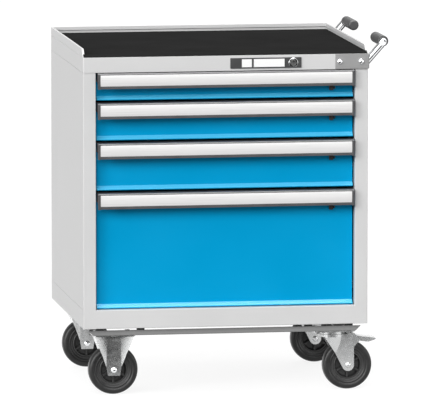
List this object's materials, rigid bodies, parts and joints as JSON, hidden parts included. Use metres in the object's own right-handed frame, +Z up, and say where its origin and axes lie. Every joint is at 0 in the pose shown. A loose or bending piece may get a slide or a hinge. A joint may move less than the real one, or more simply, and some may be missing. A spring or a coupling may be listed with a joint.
{
  "type": "workbench with drawers",
  "caption": "Mobile workshop drawer cabinet with a rimmed rubber-topped work surface, front drawers, a side push handle and swivelling braked casters.",
  "frame": {"origin": "on the floor, in the middle of the whole trolley's footprint", "axes": "+Z up, -Y towards the drawer fronts, +X towards the push handle"},
  "size_m": [0.7746, 0.6226, 0.8905],
  "materials": {
    "body_paint": "light grey powder coat",
    "front_paint": "blue powder coat",
    "drawer_steel": "light grey powder coat",
    "bracket_paint": "mid grey powder coat",
    "chassis_paint": "dark grey powder coat",
    "mat_rubber": "fine-grained black rubber",
    "pad_rubber": "matt rubber",
    "black_plastic": "satin black",
    "label_card": "plain white card",
    "chrome_parts": "polished",
    "lock_metal": "dark polished",
    "zinc_parts": "zinc plated",
    "grip_plastic": "fine-textured dark grey",
    "handle_plastic": "dark grey satin",
    "handle_insert": "light satin strip",
    "catch_plastic": "black",
    "tyre_rubber": "black rubber",
    "rim_plastic": "black moulded plastic"
  },
  "bodies": {
    "cabinet": {"front_frame": "body_paint", "side_panel_left": "body_paint", "side_panel_right": "body_paint", "back_panel": "body_paint", "plinth_tray": "body_paint", "top_cover": "body_paint", "edge_border": "body_paint", "rubber_mat": "mat_rubber", "lock_plate": "black_plastic", "label_cards": "label_card", "lock_bezel": "chrome_parts", "handle_brackets": "bracket_paint", "handle_tubes": "chrome_parts", "grips": "grip_plastic", "bracket_bolts": "chrome_parts", "chassis_rails": "chassis_paint", "spacer_pads": "pad_rubber", "fixed_forks": "zinc_parts", "swivel_plates": "zinc_parts", "caster_bolts": "zinc_parts", "fixed_axles": "chrome_parts", "cabinet_runners": "zinc_parts"},
    "lock_core": {"lock_cylinder": "lock_metal"},
    "lock_linkage": {"locking_bar": "zinc_parts"},
    "drawer_1": {"drawer_box_1": "drawer_steel", "drawer_front_1": "front_paint", "drawer_handle_1": "handle_plastic", "handle_strip_1": "handle_insert"},
    "middle_slides_1": {"middle_runners_1": "zinc_parts"},
    "catch_1": {"drawer_catch_1": "catch_plastic"},
    "drawer_2": {"drawer_box_2": "drawer_steel", "drawer_front_2": "front_paint", "drawer_handle_2": "handle_plastic", "handle_strip_2": "handle_insert"},
    "middle_slides_2": {"middle_runners_2": "zinc_parts"},
    "catch_2": {"drawer_catch_2": "catch_plastic"},
    "drawer_3": {"drawer_box_3": "drawer_steel", "drawer_front_3": "front_paint", "drawer_handle_3": "handle_plastic", "handle_strip_3": "handle_insert"},
    "middle_slides_3": {"middle_runners_3": "zinc_parts"},
    "catch_3": {"drawer_catch_3": "catch_plastic"},
    "drawer_4": {"drawer_box_4": "drawer_steel", "drawer_front_4": "front_paint", "drawer_handle_4": "handle_plastic", "handle_strip_4": "handle_insert"},
    "middle_slides_4": {"middle_runners_4": "zinc_parts"},
    "catch_4": {"drawer_catch_4": "catch_plastic"},
    "swivel_front": {"swivel_fork_front": "zinc_parts"},
    "brake_front": {"brake_pedal_front": "zinc_parts"},
    "wheel_front_left": {"tyre_front_left": "tyre_rubber", "rim_front_left": "rim_plastic"},
    "wheel_front_right": {"tyre_front_right": "tyre_rubber", "rim_front_right": "rim_plastic"},
    "swivel_rear": {"swivel_fork_rear": "zinc_parts"},
    "brake_rear": {"brake_pedal_rear": "zinc_parts"},
    "wheel_rear_left": {"tyre_rear_left": "tyre_rubber", "rim_rear_left": "rim_plastic"},
    "wheel_rear_right": {"tyre_rear_right": "tyre_rubber", "rim_rear_right": "rim_plastic"}
  },
  "joints": [
    {"name": "drawer_1_slide", "type": "slide", "parent": "cabinet", "child": "drawer_1", "axis": [0, -1, 0], "range_m": [0, 0.5]},
    {"name": "middle_1_slide", "type": "slide", "parent": "cabinet", "child": "middle_slides_1", "axis": [0, -1, 0], "range_m": [0, 0.25]},
    {"name": "catch_1_press", "type": "slide", "parent": "drawer_1", "child": "catch_1", "axis": [1, 0, 0], "range_m": [0, 0.007], "stiffness_N_per_m": 150},
    {"name": "drawer_2_slide", "type": "slide", "parent": "cabinet", "child": "drawer_2", "axis": [0, -1, 0], "range_m": [0, 0.5]},
    {"name": "middle_2_slide", "type": "slide", "parent": "cabinet", "child": "middle_slides_2", "axis": [0, -1, 0], "range_m": [0, 0.25]},
    {"name": "catch_2_press", "type": "slide", "parent": "drawer_2", "child": "catch_2", "axis": [1, 0, 0], "range_m": [0, 0.007], "stiffness_N_per_m": 150},
    {"name": "drawer_3_slide", "type": "slide", "parent": "cabinet", "child": "drawer_3", "axis": [0, -1, 0], "range_m": [0, 0.5]},
    {"name": "middle_3_slide", "type": "slide", "parent": "cabinet", "child": "middle_slides_3", "axis": [0, -1, 0], "range_m": [0, 0.25]},
    {"name": "catch_3_press", "type": "slide", "parent": "drawer_3", "child": "catch_3", "axis": [1, 0, 0], "range_m": [0, 0.007], "stiffness_N_per_m": 150},
    {"name": "drawer_4_slide", "type": "slide", "parent": "cabinet", "child": "drawer_4", "axis": [0, -1, 0], "range_m": [0, 0.5]},
    {"name": "middle_4_slide", "type": "slide", "parent": "cabinet", "child": "middle_slides_4", "axis": [0, -1, 0], "range_m": [0, 0.25]},
    {"name": "catch_4_press", "type": "slide", "parent": "drawer_4", "child": "catch_4", "axis": [1, 0, 0], "range_m": [0, 0.007], "stiffness_N_per_m": 150},
    {"name": "lock_turn", "type": "hinge", "parent": "cabinet", "child": "lock_core", "pos_m": [0.14025, -0.2967, 0.8305], "axis": [0, -1, 0], "range_deg": [0, 90]},
    {"name": "lock_bar_lift", "type": "slide", "parent": "cabinet", "child": "lock_linkage", "axis": [0, 0, 1], "range_m": [0, 0.012]},
    {"name": "swivel_front_turn", "type": "hinge", "parent": "cabinet", "child": "swivel_front", "pos_m": [0.24875, -0.2397, 0.137], "axis": [0, 0, 1], "continuous": true},
    {"name": "brake_front_press", "type": "hinge", "parent": "swivel_front", "child": "brake_front", "pos_m": [0.30675, -0.2397, 0.127], "axis": [0, 1, 0], "range_deg": [0, 10]},
    {"name": "wheel_front_left_roll", "type": "hinge", "parent": "cabinet", "child": "wheel_front_left", "pos_m": [-0.30625, -0.2397, 0.062], "axis": [0, 1, 0], "continuous": true},
    {"name": "wheel_front_right_roll", "type": "hinge", "parent": "swivel_front", "child": "wheel_front_right", "pos_m": [0.28675, -0.2397, 0.062], "axis": [0, 1, 0], "continuous": true},
    {"name": "swivel_rear_turn", "type": "hinge", "parent": "cabinet", "child": "swivel_rear", "pos_m": [0.24875, 0.2463, 0.137], "axis": [0, 0, 1], "continuous": true},
    {"name": "brake_rear_press", "type": "hinge", "parent": "swivel_rear", "child": "brake_rear", "pos_m": [0.30675, 0.2463, 0.127], "axis": [0, 1, 0], "range_deg": [0, 10]},
    {"name": "wheel_rear_left_roll", "type": "hinge", "parent": "cabinet", "child": "wheel_rear_left", "pos_m": [-0.30625, 0.2463, 0.062], "axis": [0, 1, 0], "continuous": true},
    {"name": "wheel_rear_right_roll", "type": "hinge", "parent": "swivel_rear", "child": "wheel_rear_right", "pos_m": [0.28675, 0.2463, 0.062], "axis": [0, 1, 0], "continuous": true}
  ],
  "couplings": [
    {"joint": "middle_1_slide", "follows": "drawer_1_slide", "ratio": 0.5},
    {"joint": "middle_2_slide", "follows": "drawer_2_slide", "ratio": 0.5},
    {"joint": "middle_3_slide", "follows": "drawer_3_slide", "ratio": 0.5},
    {"joint": "middle_4_slide", "follows": "drawer_4_slide", "ratio": 0.5},
    {"joint": "lock_turn", "follows": "lock_bar_lift", "rad_per_m": 130.89}
  ]
}
